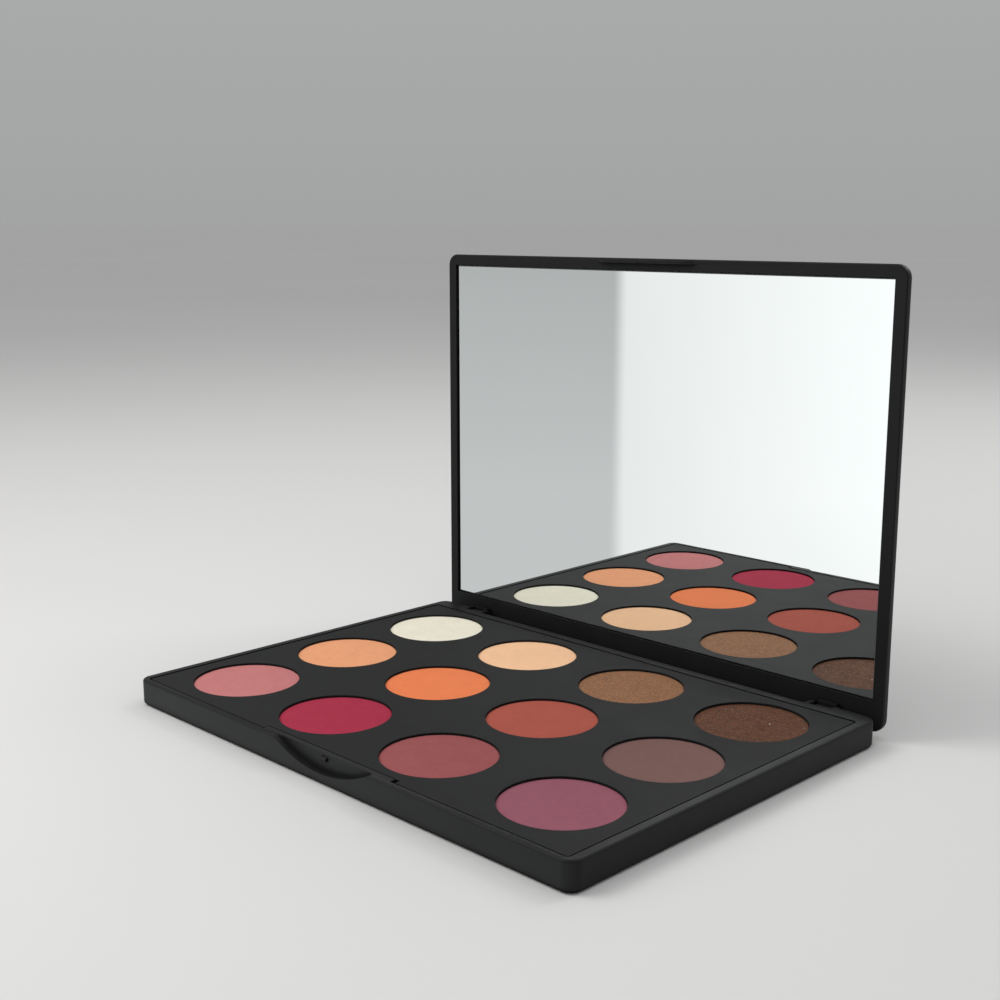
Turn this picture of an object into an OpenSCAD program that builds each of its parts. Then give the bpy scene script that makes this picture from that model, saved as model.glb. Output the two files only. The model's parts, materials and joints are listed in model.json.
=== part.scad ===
// Twelve-pan eyeshadow palette: a thin hinged compact with a full-width mirror in the lid.
// Origin: centre of the base's underside. +X to the right, +Y to the hinge side, +Z up.
// Rest pose: lid standing open at a right angle to the base.

/* [Case] */
// Width of the base and the lid
case_w = 149; // [146:1:170]
// Depth of the base, front to back
base_d = 107; // [106:1:125]
// Height of the base
base_h = 6.8; // [6.6:0.1:9]
// Thickness of the lid
lid_t = 3.7; // [3.6:0.1:6]
// Radius of the four corners, seen from above
corner_r = 3.1; // [3:0.1:6]
// Rim width at the sides of the base
rim_w = 2.3; // [2.2:0.1:2.6]
// Rim width at the front of the base
front_rim_w = 1.5; // [1.4:0.1:1.8]
// Rim width at the back of the base, which carries the hinges
back_rim_w = 5.4; // [5.2:0.1:6]
// Thickness of the base's floor
floor_t = 1.4; // [1.2:0.1:1.6]

/* [Pans] */
// Diameter of each opening in the tray
opening_d = 26.6; // [25:0.1:26.7]
// Spacing of the pans, side to side
pitch_x = 36.2; // [34:0.1:36.4]
// Spacing of the pans, front to back
pitch_y = 32.7; // [31:0.1:32.9]
// Distance from the base's centre forward to the middle row of pans
grid_forward = 1.6; // [1.4:0.1:1.8]
// Thickness of a pan's tinplate
pan_wall = 0.25; // [0.2:0.05:0.4]
// Thickness of the tray's plate
tray_t = 0.6; // [0.5:0.1:0.9]
// Depth of the tray's top face below the rim
tray_drop = 0.1; // [0.05:0.05:0.6]

/* [Mirror] */
// Width of the lid's frame at the front and the sides
frame_w = 3; // [2.6:0.1:4]
// Width of the lid's frame at the hinge side
frame_hinge_w = 7.6; // [7:0.1:9]
// Depth of the mirror's face below the lid's rim
mirror_drop = 0.65; // [0.5:0.05:0.8]
// Thickness of the mirror glass
mirror_t = 1.3; // [1:0.1:1.4]

/* [Hinge] */
// Height of the hinge axis above the underside
hinge_z = 4.7; // [4.6:0.1:4.8]
// Distance of each hinge from the middle of the case
hinge_x = 60; // [56:1:62]
// Radius of a hinge pin
pin_r = 0.6; // [0.5:0.05:0.7]
// Width of a lid lug
lug_w = 5.2; // [4.5:0.1:5.4]

/* [Latch] */
// Radius of the thumb scoop's curved lower edge
scoop_r = 35.5; // [34:0.5:45]
// Height of the scoop's lowest point above the underside
scoop_low = 2.6; // [2.4:0.1:3.2]
// Depth of the scoop behind the front face
scoop_depth = 1.4; // [1.3:0.1:1.6]

/* [Hidden] */
$fn = 64;
ROWS = ["front", "middle", "back"];
COLUMNS = 4;
eps = 0.01;
reach = 200;

// base
half_w = case_w / 2;
half_d = base_d / 2;
top_round = 0.65;
bottom_round = 1.2;
seat_z = base_h - tray_drop - tray_t;
seat_w = 1.75;
front_seat_w = 2.65;
opening_round = 1;
opening_x = half_w - rim_w;
opening_front = -half_d + front_rim_w;
opening_back = half_d - back_rim_w;

// latch
scoop_back = -half_d + scoop_depth;
scoop_centre_z = scoop_low + scoop_r;
scoop_step_w = 0.4;
scoop_step_d = 0.3;
latch_wall_x = 22.2;
latch_wall_t = 3;
latch_wall_back = -half_d + latch_wall_t;
nib_r = 0.5;
nib_l = 2;
nib_out = 0.25;
nib_z = base_h - 1.3;
lip_clear = 0.2;
lip_drop = 1.8;
lip_groove = 0.15;

// hinge
hinge_y = half_d;
lid_gap = 0.15;
lid_rise = base_h - hinge_z + lid_gap;
slot_w = lug_w + 0.4;
cheek_t = 1.2;
cheek_r = 2;
housing_w = slot_w + 2 * cheek_t;
slot_front = hinge_y - 2.5;
slot_floor = 2.2;
bay_round = 2.4;
bay_back = half_d - 0.8;
lug_r = 1.3;
lug_bore_r = pin_r + 0.05;
lug_root = 0.8;
lug_step = 0.75;
lug_sink = 0.6;
pin_l = housing_w - 0.2;

// tray, pans and powder
tray_gap = 0.45;
pry_notch_w = 1.1;
collar_in = opening_d / 2 + 0.55;
collar_out = collar_in + 0.9;
glue_t = 0.2;
glue_r = 4;
pan_r = opening_d / 2 + 0.35;
pan_z = floor_t + glue_t;
pan_top = seat_z - 0.1;
pan_round = 0.8;
powder_round = 0.5;
powder_crown = 0.25;

// lid, in its closed place, with its own origin on the hinge axis
lid_back = 2.6;
lid_front = -2 * half_d;
lid_round = 2.6;
lid_rim_round = 0.4;
glass_x = half_w - frame_w;
glass_front = lid_front + frame_w;
glass_back = lid_back - frame_hinge_w;
glass_gap = 0.15;
tape_t = 0.2;
tape_inset = 3;
pocket_depth = mirror_drop + mirror_t + tape_t;

POWDERS = [
    [[0.75, 0.47, 0.47], [0.65, 0.21, 0.30], [0.59, 0.33, 0.33], [0.56, 0.34, 0.39]],
    [[0.89, 0.62, 0.47], [0.89, 0.51, 0.33], [0.64, 0.34, 0.29], [0.46, 0.35, 0.34]],
    [[0.89, 0.87, 0.80], [0.93, 0.74, 0.59], [0.53, 0.39, 0.29], [0.37, 0.26, 0.21]]];
CASE_BLACK = [0.13, 0.13, 0.14];
TRAY_BLACK = [0.17, 0.17, 0.18];

// Half of a slab's edge profile: x runs outward from the corner's centre, y is height
module edge_profile(r, h, low, high) {
    translate([0, low]) square([r, h - low - high]);
    square([r - low, low]);
    translate([0, h - high]) square([r - high, high]);
    intersection() {
        union() {
            translate([r - low, low]) circle(low);
            translate([r - high, h - high]) circle(high);
        }
        square([r, h]);
    }
}

// Slab with round corners and rounded lower and upper edges; its front edge is at y0
module soft_slab(w, y0, y1, h, r, low, high) {
    x = w / 2 - r;
    ys = [y0 + r, y1 - r];
    for (side = [-1, 1], i = [0, 1])
        translate([side * x, ys[i], 0])
            rotate([0, 0, i == 0 ? (side < 0 ? 180 : 270) : (side < 0 ? 90 : 0)])
                rotate_extrude(angle = 90) edge_profile(r, h, low, high);
    for (side = [0, 1])
        translate([0, ys[side], 0])
            rotate([90, 0, side * 180 - 90])
                linear_extrude(2 * x, center = true) edge_profile(r, h, low, high);
    for (side = [0, 1])
        translate([side == 0 ? -x : x, (y0 + y1) / 2, 0])
            rotate([90, 0, side == 0 ? 180 : 0])
                linear_extrude(y1 - y0 - 2 * r, center = true) edge_profile(r, h, low, high);
    translate([-x, ys[0], 0]) cube([2 * x, ys[1] - ys[0], h]);
}

// Flat rectangle with round corners
module round_rect(x0, x1, y0, y1, r) {
    translate([x0 + r, y0]) square([x1 - x0 - 2 * r, y1 - y0]);
    translate([x0, y0 + r]) square([x1 - x0, y1 - y0 - 2 * r]);
    for (x = [x0 + r, x1 - r], y = [y0 + r, y1 - r]) translate([x, y]) circle(r);
}

// A shape drawn in the Y-Z plane and drawn out along X, centred on x
module along_x(x, l) {
    translate([x, 0, 0]) rotate([90, 0, 90]) linear_extrude(l, center = true) children();
}

// Everything behind the rounded back edge between the two hinges
module hinge_bay() {
    along_x(0, 2 * hinge_x - housing_w)
        difference() {
            translate([bay_back - bay_round, -1]) square([reach, reach]);
            translate([bay_back - bay_round - 1, bottom_round])
                square([bay_round + 1, base_h - bay_round - bottom_round]);
            translate([bay_back - bay_round, base_h - bay_round]) circle(bay_round);
            translate([bay_back - bottom_round, bottom_round]) circle(bottom_round);
            translate([bay_back - bay_round - 1, 0])
                square([bay_round + 1 - bottom_round, base_h - bay_round]);
        }
}

// The seat that holds the tray, with the thicker wall behind the latch left standing
module tray_seat() {
    difference() {
        round_rect(-opening_x, opening_x, opening_front, opening_back, opening_round);
        translate([-latch_wall_x, opening_front - 1])
            square([2 * latch_wall_x, latch_wall_back - opening_front + 1]);
    }
}

// Thumb scoop: a shallow arc cut back into the front face, smaller by the clearance given
module scoop_space(clear, depth) {
    translate([0, -half_d + depth, scoop_centre_z])
        rotate([90, 0, 0]) cylinder(h = depth + 5, r = scoop_r - clear, $fn = 256);
}

// The two cheeks that carry one hinge pin
module cheeks(x) {
    for (side = [-1, 1])
        along_x(x + side * (slot_w + cheek_t) / 2, cheek_t)
            translate([hinge_y, hinge_z]) circle(cheek_r);
}

module base_shell() {
    color(CASE_BLACK)
    difference() {
        union() {
            soft_slab(case_w, -half_d, half_d, base_h, corner_r, bottom_round, top_round);
            for (side = [-1, 1]) cheeks(side * hinge_x);
        }
        translate([0, 0, seat_z]) linear_extrude(reach) tray_seat();
        translate([0, 0, floor_t])
            linear_extrude(seat_z - floor_t + eps)
                round_rect(-opening_x + seat_w, opening_x - seat_w,
                    opening_front + front_seat_w, opening_back - seat_w, opening_round);
        difference() {
            union() {
                scoop_space(0, scoop_depth);
                scoop_space(scoop_step_w, scoop_depth + scoop_step_d);
            }
            translate([0, scoop_back, nib_z])
                rotate([0, 90, 0])
                    translate([0, nib_r - nib_out, 0])
                        cylinder(h = nib_l, r = nib_r, center = true);
        }
        hinge_bay();
        for (side = [-1, 1]) {
            translate([side * hinge_x - slot_w / 2, slot_front, slot_floor])
                cube([slot_w, reach, reach]);
            translate([side * hinge_x, hinge_y, hinge_z])
                rotate([0, 90, 0]) cylinder(h = housing_w, r = pin_r, center = true);
        }
    }
}

module pan_place(row, column) {
    translate([(column - (COLUMNS - 1) / 2) * pitch_x, (row - 1) * pitch_y - grid_forward, 0])
        children();
}

module each_pan() {
    for (row = [0 : len(ROWS) - 1], column = [0 : COLUMNS - 1]) pan_place(row, column) children();
}

// Black plate with a round opening over each pan and a collar that stands on the floor below it
module pan_tray() {
    color(TRAY_BLACK)
    difference() {
        union() {
            translate([0, 0, seat_z]) linear_extrude(tray_t)
                difference() {
                    round_rect(-opening_x + tray_gap, opening_x - tray_gap,
                        opening_front + tray_gap, opening_back - tray_gap,
                        opening_round - tray_gap);
                    translate([-latch_wall_x - tray_gap, opening_front - 1])
                        square([2 * latch_wall_x + tray_gap + pry_notch_w,
                            latch_wall_back + tray_gap - opening_front + 1]);
                }
            each_pan() translate([0, 0, floor_t]) cylinder(h = seat_z - floor_t + eps, r = collar_out);
        }
        each_pan() translate([0, 0, floor_t - 1]) cylinder(h = seat_z - floor_t + 1, r = collar_in);
        each_pan() cylinder(h = base_h, r = opening_d / 2);
    }
}

// Tinplate pan with a rounded foot
module pan(row, column) {
    color([0.75, 0.76, 0.78])
    pan_place(row, column)
    translate([0, 0, pan_z])
    difference() {
        rotate_extrude() {
            square([pan_r - pan_round, pan_round]);
            translate([0, pan_round]) square([pan_r, pan_top - pan_z - pan_round]);
            intersection() {
                translate([pan_r - pan_round, pan_round]) circle(pan_round);
                square([pan_r, pan_round + eps]);
            }
        }
        translate([0, 0, pan_wall + pan_round]) cylinder(h = base_h, r = pan_r - pan_wall);
        translate([0, 0, pan_wall]) cylinder(h = base_h, r = pan_r - pan_round);
    }
}

// Pressed powder that fills a pan, slightly crowned
module powder(row, column) {
    puck_r = pan_r - pan_wall;
    crown_top = pan_top + powder_crown - pan_z - pan_wall;
    color(POWDERS[row][column])
    pan_place(row, column)
    translate([0, 0, pan_z + pan_wall]) {
        cylinder(h = pan_round, r = pan_r - pan_round);
        translate([0, 0, pan_round]) rotate_extrude() {
            square([puck_r, crown_top - pan_round - powder_round]);
            translate([0, crown_top - pan_round - powder_round])
                square([puck_r - powder_round, powder_round]);
            intersection() {
                translate([puck_r - powder_round, crown_top - pan_round - powder_round])
                    circle(powder_round);
                square([puck_r, base_h]);
            }
        }
    }
}

module pan_glue() {
    color([0.86, 0.84, 0.76])
    each_pan() translate([0, 0, floor_t]) cylinder(h = glue_t, r = glue_r);
}

// Swings a piece drawn in the lid's closed place to the open lid
module open_lid() {
    translate([0, hinge_y, hinge_z]) rotate([-90, 0, 0]) children();
}

// Downward lip at the lid's front, which drops into the scoop
module latch_lip() {
    lip_back = lid_front + scoop_depth - lip_clear;
    difference() {
        intersection() {
            translate([-reach / 2, lid_front + lid_rim_round, lid_rise - lip_drop])
                cube([reach, lip_back - lid_front - lid_rim_round, lip_drop + lid_rim_round]);
            translate([0, -hinge_y, -hinge_z]) scoop_space(lip_clear, base_d);
        }
        translate([0, lip_back + lip_clear + nib_r - nib_out, nib_z - hinge_z])
            rotate([0, 90, 0]) cylinder(h = nib_l + 1, r = nib_r + lip_groove, center = true);
    }
}

// Lug that hangs from the lid and turns on its pin
module lug(x) {
    along_x(x, lug_w) {
        circle(lug_r);
        translate([-lug_r, 0]) square([2 * lug_r, lid_rise + lug_sink]);
        translate([-lug_r - lug_root, lug_step])
            square([lug_r + lug_root, lid_rise + lug_sink - lug_step]);
    }
}

module lid_shell() {
    color(CASE_BLACK)
    open_lid()
    difference() {
        union() {
            translate([0, 0, lid_rise])
                soft_slab(case_w, lid_front, lid_back, lid_t, corner_r, lid_rim_round, lid_round);
            latch_lip();
            for (side = [-1, 1]) lug(side * hinge_x);
        }
        translate([-glass_x, glass_front, 0])
            cube([2 * glass_x, glass_back - glass_front, lid_rise + pocket_depth]);
        for (side = [-1, 1])
            translate([side * hinge_x, 0, 0])
                rotate([0, 90, 0]) cylinder(h = 2 * lug_w, r = lug_bore_r, center = true);
    }
}

module mirror_glass() {
    color([0.80, 0.84, 0.86])
    open_lid()
    translate([-glass_x + glass_gap, glass_front + glass_gap, lid_rise + mirror_drop])
        cube([2 * (glass_x - glass_gap), glass_back - glass_front - 2 * glass_gap, mirror_t]);
}

module mirror_tape() {
    color([0.92, 0.92, 0.88])
    open_lid()
    translate([-glass_x + tape_inset, glass_front + tape_inset, lid_rise + mirror_drop + mirror_t])
        cube([2 * (glass_x - tape_inset), glass_back - glass_front - 2 * tape_inset, tape_t]);
}

module hinge_pin(side) {
    color([0.72, 0.73, 0.75])
    translate([side * hinge_x, hinge_y, hinge_z])
        rotate([0, 90, 0]) cylinder(h = pin_l, r = pin_r, center = true);
}

base_shell();
pan_tray();
pan_glue();
lid_shell();
mirror_glass();  // mirror
mirror_tape();
hinge_pin(-1);  // hinge_pin_left
hinge_pin(1);  // hinge_pin_right
for (row = [0 : len(ROWS) - 1], column = [0 : COLUMNS - 1]) {
    pan(row, column);
    powder(row, column);
}
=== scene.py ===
"""Looks for a mirrored eyeshadow palette: bevelled casings, pressed powders, glass and soft studio light."""

import json
import math

import bmesh
import bpy
from mathutils import Matrix, Vector, noise

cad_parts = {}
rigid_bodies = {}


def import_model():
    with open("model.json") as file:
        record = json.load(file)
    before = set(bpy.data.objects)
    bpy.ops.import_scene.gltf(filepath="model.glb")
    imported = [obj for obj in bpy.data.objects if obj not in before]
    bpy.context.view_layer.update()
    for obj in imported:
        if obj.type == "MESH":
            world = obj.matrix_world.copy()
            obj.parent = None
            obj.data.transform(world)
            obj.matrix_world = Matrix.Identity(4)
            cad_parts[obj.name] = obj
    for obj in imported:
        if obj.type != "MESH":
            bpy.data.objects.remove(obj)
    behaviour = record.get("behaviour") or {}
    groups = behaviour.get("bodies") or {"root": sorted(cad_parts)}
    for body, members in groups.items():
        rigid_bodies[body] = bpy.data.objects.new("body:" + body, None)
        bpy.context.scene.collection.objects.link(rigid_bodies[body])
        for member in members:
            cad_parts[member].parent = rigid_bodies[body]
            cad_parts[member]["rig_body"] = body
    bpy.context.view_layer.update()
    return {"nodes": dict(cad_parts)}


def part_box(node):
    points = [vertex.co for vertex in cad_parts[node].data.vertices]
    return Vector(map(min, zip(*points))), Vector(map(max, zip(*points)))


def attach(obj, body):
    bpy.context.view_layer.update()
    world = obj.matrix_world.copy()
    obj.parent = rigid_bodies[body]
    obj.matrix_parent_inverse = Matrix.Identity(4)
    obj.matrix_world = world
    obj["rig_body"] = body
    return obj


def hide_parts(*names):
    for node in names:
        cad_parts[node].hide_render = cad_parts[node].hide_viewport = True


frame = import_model()
nodes = frame["nodes"]
MM = 0.001

# ---------------------------------------------------------------- sizes read from the frame
CASE_LOW, CASE_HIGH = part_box("base_shell")
ROWS = ("front", "middle", "back")
COLUMNS = (1, 2, 3, 4)

# ---------------------------------------------------------------- node helpers


class Graph:
    """A new node material with one Principled shader, and short calls to add nodes to it."""

    def __init__(self, name):
        self.material = bpy.data.materials.new(name)
        self.material.use_nodes = True
        self.tree = self.material.node_tree
        self.shader = self.tree.nodes["Principled BSDF"]
        self.coordinates = self.add("ShaderNodeTexCoord")
        self.place = self.coordinates.outputs["Object"]

    def add(self, kind, **settings):
        node = self.tree.nodes.new(kind)
        for key, value in settings.items():
            setattr(node, key, value)
        return node

    def link(self, source, target):
        self.tree.links.new(source, target)

    def fill(self, target, value):
        """Links the value to the target where it is a socket, or else sets it there as a constant."""
        if isinstance(value, bpy.types.NodeSocket):
            self.link(value, target)
        else:
            target.default_value = value

    def noise(self, size, detail=4.0, roughness=0.55, stretch=(1, 1, 1), distortion=0.0):
        """Noise with features about size metres across."""
        mapping = self.add("ShaderNodeMapping")
        mapping.inputs["Scale"].default_value = stretch
        self.link(self.place, mapping.inputs["Vector"])
        node = self.add("ShaderNodeTexNoise")
        node.inputs["Scale"].default_value = 1 / size
        node.inputs["Detail"].default_value = detail
        node.inputs["Roughness"].default_value = roughness
        node.inputs["Distortion"].default_value = distortion
        self.link(mapping.outputs["Vector"], node.inputs["Vector"])
        return node.outputs["Fac"]

    def cells(self, size):
        """Red, green and blue sockets, each with one random number per cell about size metres across."""
        node = self.add("ShaderNodeTexVoronoi")
        node.inputs["Scale"].default_value = 1 / size
        self.link(self.place, node.inputs["Vector"])
        split = self.add("ShaderNodeSeparateColor")
        self.link(node.outputs["Color"], split.inputs["Color"])
        return split.outputs

    def split(self, vector):
        """X, Y and Z sockets of a vector."""
        node = self.add("ShaderNodeSeparateXYZ")
        self.link(vector, node.inputs["Vector"])
        return node.outputs

    def remap(self, value, low, high, to_low=0.0, to_high=1.0, curve="LINEAR"):
        node = self.add("ShaderNodeMapRange", interpolation_type=curve)
        settings = {"Value": value, "From Min": low, "From Max": high, "To Min": to_low, "To Max": to_high}
        for socket, setting in settings.items():
            self.fill(node.inputs[socket], setting)
        return node.outputs["Result"]

    def math(self, operation, a, b=0.0):
        node = self.add("ShaderNodeMath", operation=operation)
        self.fill(node.inputs[0], a)
        self.fill(node.inputs[1], b)
        return node.outputs["Value"]

    def mix(self, factor, a, b):
        node = self.add("ShaderNodeMix", data_type="RGBA")
        self.fill(node.inputs["Factor"], factor)
        self.fill(node.inputs["A"], a)
        self.fill(node.inputs["B"], b)
        return node.outputs["Result"]

    def bump(self, height, distance, strength=1.0, under=None):
        node = self.add("ShaderNodeBump")
        node.inputs["Strength"].default_value = strength
        node.inputs["Distance"].default_value = distance
        self.link(height, node.inputs["Height"])
        if under is not None:
            self.link(under, node.inputs["Normal"])
        return node.outputs["Normal"]

    def painted_crevice_shade(self, reach):
        """Painted-shade mask from ambient occlusion: 1 on open faces, falling to 0 where the surface is shut
        in within that reach.
        """
        node = self.add("ShaderNodeAmbientOcclusion", samples=6)
        node.inputs["Distance"].default_value = reach
        return self.remap(node.outputs["AO"], 0.30, 0.85)

    def set(self, **values):
        for key, value in values.items():
            self.fill(self.shader.inputs[key.replace("_", " ")], value)
        return self.material


def rgb(r, g, b):
    return (r, g, b, 1.0)


def toned(colour, factor, lift=0.0):
    """The colour made darker or lighter."""
    return rgb(*(min(1.0, c * factor + lift) for c in colour))


# ---------------------------------------------------------------- materials


def moulded_black(name, tone, rough, specular, painted_crevice_shade):
    """Satin black plastic: fine spark-eroded texture, slow mould waviness, uneven gloss, and painted shade
    darkening its crevices.
    """
    g = Graph(name)
    grain = g.noise(0.22 * MM, detail=3)
    cloud = g.noise(9 * MM, detail=3)
    wave = g.noise(26 * MM, detail=1)
    dust = g.remap(g.noise(0.9 * MM, detail=6, roughness=0.7), 0.62, 0.74)
    colour = g.mix(cloud, toned(tone, 0.86), toned(tone, 1.16))
    colour = g.mix(g.math("MULTIPLY", dust, 0.25), colour, toned(tone, 2.2, 0.004))
    uneven = g.math("ADD", g.math("MULTIPLY", grain, 0.5), g.math("MULTIPLY", cloud, 0.5))
    gloss = g.remap(uneven, 0.3, 0.7, rough[0], rough[1])
    # Painted shade: ambient occlusion darkens the colour towards black and dulls the gloss in crevices, gaps
    # and corners.
    outside_painted_shade = g.painted_crevice_shade(painted_crevice_shade)
    colour = g.mix(outside_painted_shade, rgb(0.0015, 0.0015, 0.0015), colour)
    normal = g.bump(wave, 0.05 * MM, 0.6)
    normal = g.bump(grain, 0.012 * MM, 0.55, under=normal)
    gloss = g.remap(outside_painted_shade, 0.0, 1.0, 0.9, gloss)
    return g.set(Base_Color=colour, Roughness=gloss, Normal=normal, Specular_IOR_Level=specular)


def silvered_glass(name):
    """Mirror: silver seen through clear glass, with faint wipe marks in its gloss and a pale ground edge."""
    g = Graph(name)
    wipe = g.noise(14 * MM, detail=5, roughness=0.7, stretch=(1, 1, 0.35))
    gloss = g.remap(wipe, 0.45, 0.85, 0.004, 0.03)
    tint = g.mix(g.noise(40 * MM, detail=2), rgb(0.83, 0.855, 0.85), rgb(0.86, 0.875, 0.87))
    facing = g.split(g.coordinates.outputs["Normal"])
    face = g.remap(g.math("ABSOLUTE", facing["Y"]), 0.85, 0.95)
    ground = g.mix(wipe, rgb(0.20, 0.21, 0.21), rgb(0.30, 0.31, 0.31))
    return g.set(Base_Color=g.mix(face, ground, tint), Metallic=face,
                 Roughness=g.remap(face, 0.0, 1.0, 0.5, gloss))


def pressed_powder(name, colour, mottle=0.08, shimmer=0.0, painted_glints=0.0):
    """Pressed pigment: soft grain, faint mottling, flakes of mica where it shimmers, and painted glints of
    glitter as pale dots.
    """
    g = Graph(name)
    fine = g.noise(0.16 * MM, detail=4, roughness=0.7)
    blotch = g.noise(2.6 * MM, detail=5, roughness=0.62)
    broad = g.noise(8 * MM, detail=2)
    low = toned(colour, 1 - mottle)
    base = g.mix(g.remap(blotch, 0.3, 0.7), low, toned(colour, 1 + mottle))
    base = g.mix(g.math("MULTIPLY", g.remap(broad, 0.35, 0.75), 0.35), base, toned(colour, 1.07, 0.004))
    base = g.mix(g.math("MULTIPLY", g.remap(fine, 0.55, 0.8), 0.3), base, low)
    normal = g.bump(fine, 0.03 * MM, 0.6)
    settings = dict(Roughness=0.88, Specular_IOR_Level=0.10)
    if shimmer:
        speckle = g.noise(0.55 * MM, detail=2, roughness=0.8)
        warm = rgb(*(c * k for c, k in zip(colour, (2.1, 1.6, 1.3))))
        bright = g.math("MULTIPLY", g.remap(speckle, 0.52, 0.66), 1.2 * shimmer)
        dark = g.math("MULTIPLY", g.remap(speckle, 0.48, 0.34), 0.8 * shimmer)
        base = g.mix(bright, base, warm)
        base = g.mix(dark, base, toned(colour, 0.45))
        flake = g.cells(0.16 * MM)
        lit = g.remap(flake["Red"], 1 - 0.55 * shimmer, 1.0)
        base = g.mix(g.math("MULTIPLY", lit, 0.5), base, toned(colour, 2.2, 0.01))
        settings["Metallic"] = g.math("MULTIPLY", lit, 0.7)
        settings["Roughness"] = g.remap(lit, 0.0, 1.0, 0.75, 0.36)
        normal = g.bump(flake["Green"], 0.05 * MM, 0.55 * shimmer, under=normal)
    if painted_glints:
        # Painted glints: a few cells painted pale cream stand in for glitter catching the light.
        painted_glint = g.remap(g.cells(0.30 * MM)["Blue"], 1 - 0.03 * painted_glints, 1 - 0.028 * painted_glints)
        base = g.mix(painted_glint, base, rgb(0.95, 0.86, 0.72))
    return g.set(Base_Color=base, Normal=normal, **settings)


def drawn_metal(name, tone):
    """Drawn tinplate or wire, with fine brushed lines."""
    g = Graph(name)
    brushed = g.noise(0.5 * MM, detail=4, stretch=(1, 1, 6))
    return g.set(Base_Color=g.mix(brushed, toned(tone, 0.85), rgb(*tone)), Metallic=1.0,
                 Roughness=g.remap(brushed, 0.3, 0.7, 0.25, 0.42), Normal=g.bump(brushed, 0.01 * MM, 0.4))


def soft_glue(name, tone):
    """Lumpy pale glue, also used for the foam tape."""
    g = Graph(name)
    lump = g.noise(1.5 * MM, detail=3)
    return g.set(Base_Color=g.mix(lump, toned(tone, 0.9), rgb(*tone)),
                 Roughness=g.remap(lump, 0.3, 0.7, 0.35, 0.6), Normal=g.bump(lump, 0.1 * MM, 0.5))


def paint(obj, material):
    obj.data.materials.clear()
    obj.data.materials.append(material)


# ---------------------------------------------------------------- pieces


def put(name, data):
    """A new object in the scene."""
    thing = bpy.data.objects.new(name, data)
    bpy.context.scene.collection.objects.link(thing)
    return thing


def add_piece(name, mesh, node):
    """A new piece that stands for a CAD node and rides on the same body."""
    piece = put(name, mesh)
    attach(piece, nodes[node]["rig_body"])
    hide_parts(node)
    return piece


def smooth(mesh, sharp_angle):
    """Smooth shading, with edges steeper than the angle kept sharp."""
    for face in mesh.polygons:
        face.use_smooth = True
    mesh.set_sharp_from_angle(angle=math.radians(sharp_angle))


def softened(node, name, width):
    """The CAD node's own shape with its sharp moulded edges rounded over."""
    weld, flat_angle, sharp_angle = 0.001 * MM, 0.3, 28
    mesh = nodes[node].data.copy()
    mesh.name = name
    shape = bmesh.new()
    shape.from_mesh(mesh)
    bmesh.ops.remove_doubles(shape, verts=shape.verts, dist=weld)
    bmesh.ops.dissolve_limit(shape, angle_limit=math.radians(flat_angle), verts=shape.verts,
                             edges=shape.edges)
    shape.to_mesh(mesh)
    shape.free()
    if "custom_normal" in mesh.attributes:
        mesh.attributes.remove(mesh.attributes["custom_normal"])
    piece = add_piece(name, mesh, node)
    bevel = piece.modifiers.new("rounded_edges", "BEVEL")
    bevel.width = width
    bevel.segments = 3
    bevel.limit_method = "ANGLE"
    bevel.angle_limit = math.radians(sharp_angle)
    bevel.miter_outer = "MITER_ARC"
    bevel.harden_normals = True
    smooth(mesh, sharp_angle)
    return piece


def revolved_puck(name, node, seed):
    """Pressed powder: a crowned disc with a rounded shoulder and a faintly uneven face."""
    low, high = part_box(node)
    centre = (low + high) / 2
    radius = (high.x - low.x) / 2
    crown, shoulder, uneven = 0.10 * MM, 0.35 * MM, 0.035 * MM
    rings, shoulder_rings, spokes = 84, 6, 168
    lumps_per_metre = 900
    flat = radius - shoulder
    shape = bmesh.new()

    def ring(r, z, rough):
        made = []
        for i in range(spokes):
            angle = 2 * math.pi * i / spokes
            x, y = r * math.cos(angle), r * math.sin(angle)
            spot = Vector((x * lumps_per_metre, y * lumps_per_metre, seed))
            lift = noise.fractal(spot, 0.8, 2.0, 4) * rough
            made.append(shape.verts.new((centre.x + x, centre.y + y, z + lift)))
        return made

    loops = []
    for k in range(1, rings + 1):
        r = flat * k / rings
        loops.append(ring(r, high.z - crown * (r / flat) ** 2, uneven))
    for k in range(1, shoulder_rings + 1):
        turn = math.pi / 2 * k / shoulder_rings
        loops.append(ring(flat + shoulder * math.sin(turn),
                          high.z - crown - shoulder * (1 - math.cos(turn)), 0))
    loops.append(ring(radius, low.z, 0))
    top = shape.verts.new((centre.x, centre.y, high.z))
    bottom = shape.verts.new((centre.x, centre.y, low.z))
    for i in range(spokes):
        j = (i + 1) % spokes
        shape.faces.new((top, loops[0][i], loops[0][j]))
        for a, b in zip(loops, loops[1:]):
            shape.faces.new((a[i], b[i], b[j], a[j]))
        shape.faces.new((loops[-1][i], bottom, loops[-1][j]))
    mesh = bpy.data.meshes.new(name)
    shape.to_mesh(mesh)
    shape.free()
    smooth(mesh, 60)
    return add_piece(name, mesh, node)


def polished_slab(name, node, edge):
    """Flat glass with a narrow polished bevel all round."""
    low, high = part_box(node)
    shape = bmesh.new()
    bmesh.ops.create_cube(shape, size=1)
    for vert in shape.verts:
        vert.co = Vector(((low[i] if vert.co[i] < 0 else high[i]) for i in range(3)))
    bmesh.ops.bevel(shape, geom=list(shape.edges), offset=edge, segments=1, affect="EDGES")
    mesh = bpy.data.meshes.new(name)
    shape.to_mesh(mesh)
    shape.free()
    return add_piece(name, mesh, node)
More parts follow.
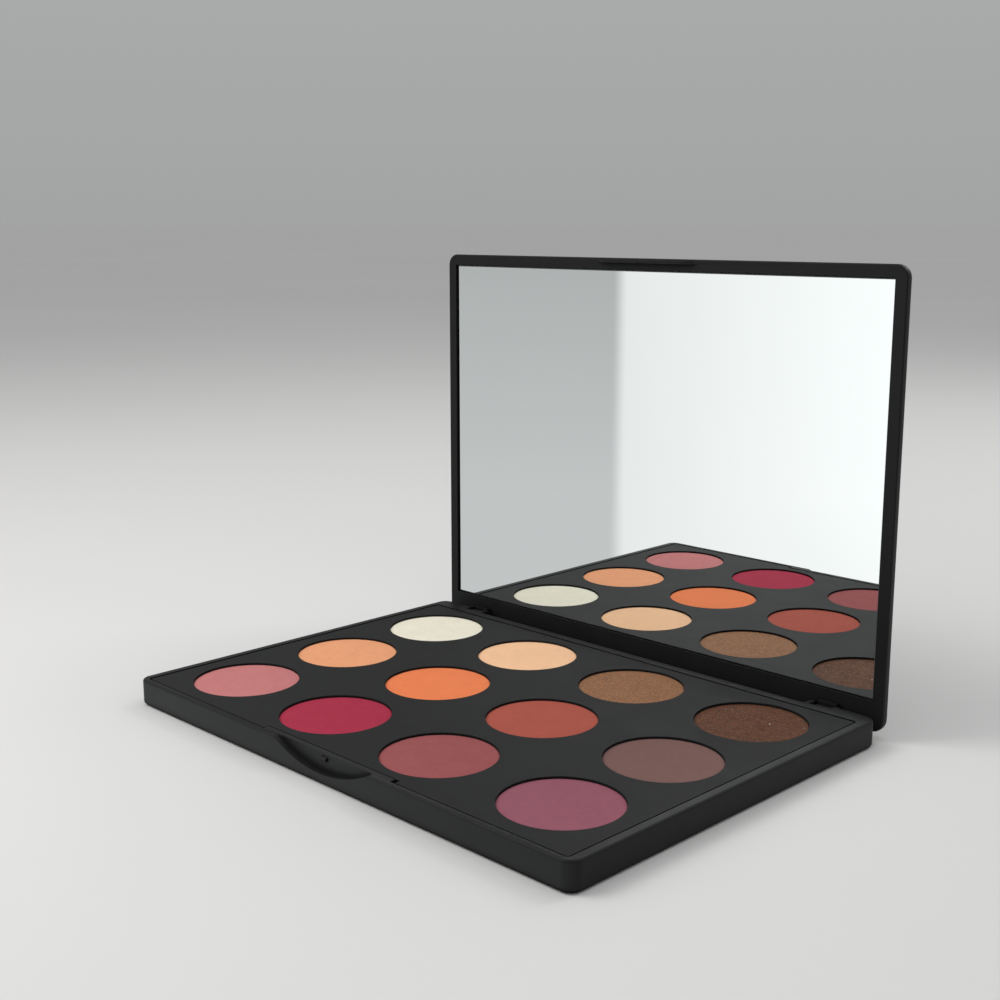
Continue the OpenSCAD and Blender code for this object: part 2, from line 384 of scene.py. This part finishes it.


# Powder shades: colour, mottling, shimmer, painted glints
SHADES = {
    "front_1": ((0.541, 0.197, 0.193), 0.05, 0.0, 0.0),
    "front_2": ((0.383, 0.031, 0.066), 0.05, 0.0, 0.0),
    "front_3": ((0.318, 0.089, 0.091), 0.06, 0.0, 0.0),
    "front_4": ((0.283, 0.096, 0.129), 0.05, 0.0, 0.0),
    "middle_1": ((0.845, 0.378, 0.196), 0.04, 0.0, 0.0),
    "middle_2": ((0.860, 0.233, 0.091), 0.04, 0.0, 0.0),
    "middle_3": ((0.415, 0.096, 0.068), 0.05, 0.0, 0.0),
    "middle_4": ((0.192, 0.106, 0.096), 0.05, 0.0, 0.0),
    "back_1": ((0.885, 0.838, 0.690), 0.03, 0.0, 0.0),
    "back_2": ((0.940, 0.575, 0.346), 0.04, 0.0, 0.0),
    "back_3": ((0.250, 0.126, 0.065), 0.12, 0.42, 0.0),
    "back_4": ((0.100, 0.043, 0.0235), 0.34, 0.55, 0.012),
}

# The last argument is how far the painted shade in crevices reaches.
case_black = moulded_black("case_black", tone=(0.0115, 0.0117, 0.0120), rough=(0.38, 0.50), specular=0.13,
                           painted_crevice_shade=1.8 * MM)
tray_black = moulded_black("tray_black", tone=(0.0150, 0.0153, 0.0157), rough=(0.54, 0.64), specular=0.12,
                           painted_crevice_shade=1.1 * MM)

for node, name in (("base_shell", "base_casing"), ("lid_shell", "lid_casing")):
    paint(softened(node, name, 0.16 * MM), case_black)
paint(softened("pan_tray", "tray_plate", 0.10 * MM), tray_black)
paint(polished_slab("mirror_plate", "mirror", 0.30 * MM), silvered_glass("mirror_silver"))

tin = drawn_metal("tinplate", (0.62, 0.63, 0.65))
steel = drawn_metal("pin_steel", (0.55, 0.56, 0.58))
for row in ROWS:
    for column in COLUMNS:
        place = f"{row}_{column}"
        colour, mottle, shimmer, painted_glints = SHADES[place]
        powder = f"powder_{place}"
        material = pressed_powder(f"pressed_{place}", colour, mottle, shimmer, painted_glints)
        seed = 10.0 * ROWS.index(row) + column
        paint(revolved_puck(f"puck_{place}", powder, seed), material)
        paint(nodes[f"pan_{place}"], tin)
paint(nodes["pan_glue"], soft_glue("hot_melt", (0.72, 0.69, 0.58)))
paint(nodes["mirror_tape"], soft_glue("foam_tape", (0.80, 0.80, 0.76)))
for side in ("left", "right"):
    paint(nodes[f"hinge_pin_{side}"], steel)

# ---------------------------------------------------------------- floor, light and camera


LAMP_AIM = Vector((0, 0, 30)) * MM


def sheet(name, points, faces):
    """A new object made of flat faces between the points."""
    mesh = bpy.data.meshes.new(name)
    mesh.from_pydata(points, [], faces)
    return put(name, mesh)


def pale_floor():
    """Plain pale paper floor, whose fine tooth fades out away from the object."""
    half, gap = 60.0, 0.02 * MM
    fade_from, fade_to = 0.3, 1.2
    z = CASE_LOW.z - gap
    corners = [(-half, -half, z), (half, -half, z), (half, half, z), (-half, half, z)]
    floor = sheet("floor", corners, [(0, 1, 2, 3)])
    g = Graph("pale_paper")
    tooth = g.noise(0.6 * MM, detail=3)
    cloud = g.noise(0.5, detail=2)
    away = g.add("ShaderNodeVectorMath", operation="LENGTH")
    g.link(g.place, away.inputs[0])
    tooth = g.math("MULTIPLY", tooth, g.remap(away.outputs["Value"], fade_from, fade_to, 1.0, 0.0))
    colour = g.mix(cloud, rgb(0.68, 0.677, 0.668), rgb(0.72, 0.717, 0.71))
    paint(floor, g.set(Base_Color=colour, Roughness=0.85, Specular_IOR_Level=0.0,
                       Normal=g.bump(tooth, 0.03 * MM, 0.3)))


def card_glow(left, right, height):
    """Soft-edged glow, with X along the card and Z up: grey at the left end, white to the right of it."""
    left_fade, right_fade, top_fade = 0.02, 0.05, 0.08
    grey_ends, white_starts = 3.5 * MM, 10.5 * MM
    g = Graph("glowing_card")
    card = g.split(g.place)
    across, up = card["X"], card["Z"]

    def fade(value, low, high, to_low=0.0, to_high=1.0):
        return g.remap(value, low, high, to_low, to_high, "SMOOTHSTEP")

    ends = g.math("MULTIPLY", fade(across, left, left + left_fade), fade(across, right, right - right_fade))
    cover = g.math("MULTIPLY", ends, fade(up, height, height - top_fade))
    grey = g.remap(up, 0.0, 0.11, 0.64, 0.50)
    white = g.remap(across, 0.0, 0.13, 0.93, 1.18)
    clear = g.add("ShaderNodeBsdfTransparent")
    glow = g.add("ShaderNodeEmission")
    glow.inputs["Color"].default_value = rgb(0.98, 1.0, 1.0)
    g.link(fade(across, grey_ends, white_starts, grey, white), glow.inputs["Strength"])
    mixed = g.add("ShaderNodeMixShader")
    g.link(cover, mixed.inputs["Fac"])
    g.link(clear.outputs["BSDF"], mixed.inputs[1])
    g.link(glow.outputs["Emission"], mixed.inputs[2])
    g.tree.nodes.remove(g.shader)
    g.link(mixed.outputs["Shader"], g.tree.nodes["Material Output"].inputs["Surface"])
    return g.material


def glow_sweep():
    """Glowing card bent up at the front left, which only the mirror and the gloss see. It lights nothing
    else.
    """
    corner = Vector((-0.169, -0.123, 0.0))
    turn = Matrix.Rotation(math.radians(-40.2), 3, "Z")
    left, right, height = -0.09, 0.20, 0.26
    lift, gap, left_reach = 0.3 * MM, 1.0 * MM, 0.125

    def local(x, y):
        """A point just above the floor, in the card's own axes."""
        return turn.inverted() @ (Vector((x, y, 0)) - corner) + Vector((0, 0, lift))

    front, side, back = CASE_LOW.y - gap, CASE_LOW.x - gap, CASE_HIGH.y
    upright = [(left, 0, 0), (right, 0, 0), (right, 0, height), (left, 0, height)]
    flat = [(left, 0, lift), (right, 0, lift), local(2 * CASE_HIGH.x, front), local(side, front),
            local(side, back), local(CASE_LOW.x - left_reach, back)]
    material = card_glow(left, right, height)
    for name, points, faces in (("glow_upright", upright, [(0, 1, 2, 3)]),
                                ("glow_flat", flat, [(0, 1, 2, 3), (0, 3, 4, 5)])):
        card = sheet(name, points, faces)
        card.location = corner
        card.rotation_euler = turn.to_euler()
        card.visible_camera = False
        card.visible_shadow = False
        card.visible_diffuse = False
        paint(card, material)


def softbox(name, place, size, power, tint=(1, 1, 1)):
    """A rectangular lamp that faces the middle of the palette."""
    data = bpy.data.lights.new(name, "AREA")
    data.shape = "RECTANGLE"
    data.size, data.size_y = size
    data.energy = power
    data.color = tint
    lamp = put(name, data)
    lamp.location = place
    lamp.rotation_euler = (LAMP_AIM - Vector(place)).to_track_quat("-Z", "Y").to_euler()
    return lamp


def studio():
    """A pale room with soft lamps at the front left, behind and overhead, and a glowing card the mirror
    sees.
    """
    scene = bpy.context.scene
    scene.view_settings.view_transform = "Standard"
    world = bpy.data.worlds.new("studio")
    scene.world = world
    world.use_nodes = True
    tree = world.node_tree
    air = tree.nodes["Background"]
    direction = tree.nodes.new("ShaderNodeTexCoord")
    split = tree.nodes.new("ShaderNodeSeparateXYZ")
    ramp = tree.nodes.new("ShaderNodeValToRGB")
    horizon, zenith = ramp.color_ramp.elements
    horizon.position = 0.0
    horizon.color = rgb(0.366, 0.368, 0.370)
    zenith.position = 0.9
    zenith.color = rgb(0.575, 0.58, 0.585)
    tree.links.new(direction.outputs["Generated"], split.inputs["Vector"])
    tree.links.new(split.outputs["Z"], ramp.inputs["Fac"])
    tree.links.new(ramp.outputs["Color"], air.inputs["Color"])
    softbox("key", (-0.36, -0.34, 0.60), size=(0.34, 0.34), power=2.0, tint=(1.0, 0.985, 0.96))
    softbox("back_light", (0.16, 0.66, 0.62), size=(0.4, 0.4), power=1.75)
    softbox("overhead", (0.05, 0.0, 1.0), size=(0.8, 0.8), power=1.0)
    fill = softbox("front_fill", (-0.11, -0.22, 0.16), size=(0.20, 0.16), power=0.10)
    fill.visible_glossy = False
    glow_sweep()


def photographer():
    """The camera stands 45 degrees to the right of the front, a little above, on a 50 mm lens."""
    azimuth, elevation = math.radians(45.0), math.radians(11.22)
    aim = Vector((1.6, 1.0, 56.1)) * MM
    distance = 330 * MM
    back = Vector((math.sin(azimuth) * math.cos(elevation), -math.cos(azimuth) * math.cos(elevation),
                   math.sin(elevation)))
    data = bpy.data.cameras.new("camera")
    data.lens = 50
    data.sensor_width = 36
    data.clip_start = 0.01
    camera = put("camera", data)
    camera.location = aim + back * distance
    camera.rotation_euler = (-back).to_track_quat("-Z", "Y").to_euler()
    bpy.context.scene.camera = camera


pale_floor()
studio()
photographer()
